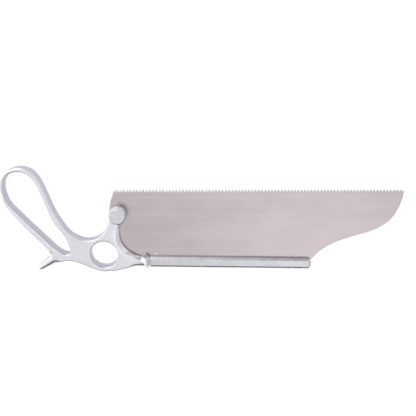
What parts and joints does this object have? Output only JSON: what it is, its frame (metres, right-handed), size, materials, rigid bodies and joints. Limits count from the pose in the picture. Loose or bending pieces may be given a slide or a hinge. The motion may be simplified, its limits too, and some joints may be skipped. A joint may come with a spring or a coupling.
{
  "type": "amputation saw",
  "caption": "Amputation saw with a cast looped grip, finger ring, grooved spine and a toothed blade clamped in a forked arm by a thumb screw.",
  "frame": {"origin": "centre of the bottom of the bounding box, in the plane of the back of the casting on which the saw lies", "axes": "+X along the blade towards its toe, +Y from the spine to the teeth, +Z along the thumb screw, out of its knob"},
  "size_m": [0.3286, 0.0902, 0.0155],
  "materials": {
    "casting": "satin stainless casting",
    "spine": "satin stainless bar",
    "blade": "brushed stainless sheet",
    "screw": "turned stainless steel"
  },
  "bodies": {
    "casting": {"handle_frame": "casting", "spine_rib": "spine", "tang_pin": "spine", "blade_stop_pin": "spine"},
    "blade_body": {"blade": "blade"},
    "washer": {"thumb_washer": "screw"},
    "screw": {"thumb_knob": "screw", "thumb_stud": "screw"}
  },
  "joints": [
    {"name": "blade_draw", "type": "slide", "parent": "casting", "child": "blade_body", "axis": [0.309, 0.9511, 0], "range_m": [0, 0.05]},
    {"name": "washer_lift", "type": "slide", "parent": "casting", "child": "washer", "axis": [0, 0, 1], "range_m": [0, 0.00321]},
    {"name": "screw_turn", "type": "hinge", "parent": "washer", "child": "screw", "pos_m": [-0.06955, 0.00555, 0.01], "axis": [0, 0, 1], "range_deg": [0, 1440]}
  ],
  "couplings": [
    {"joint": "washer_lift", "follows": "screw_turn", "m_per_rad": 0.0001273}
  ]
}
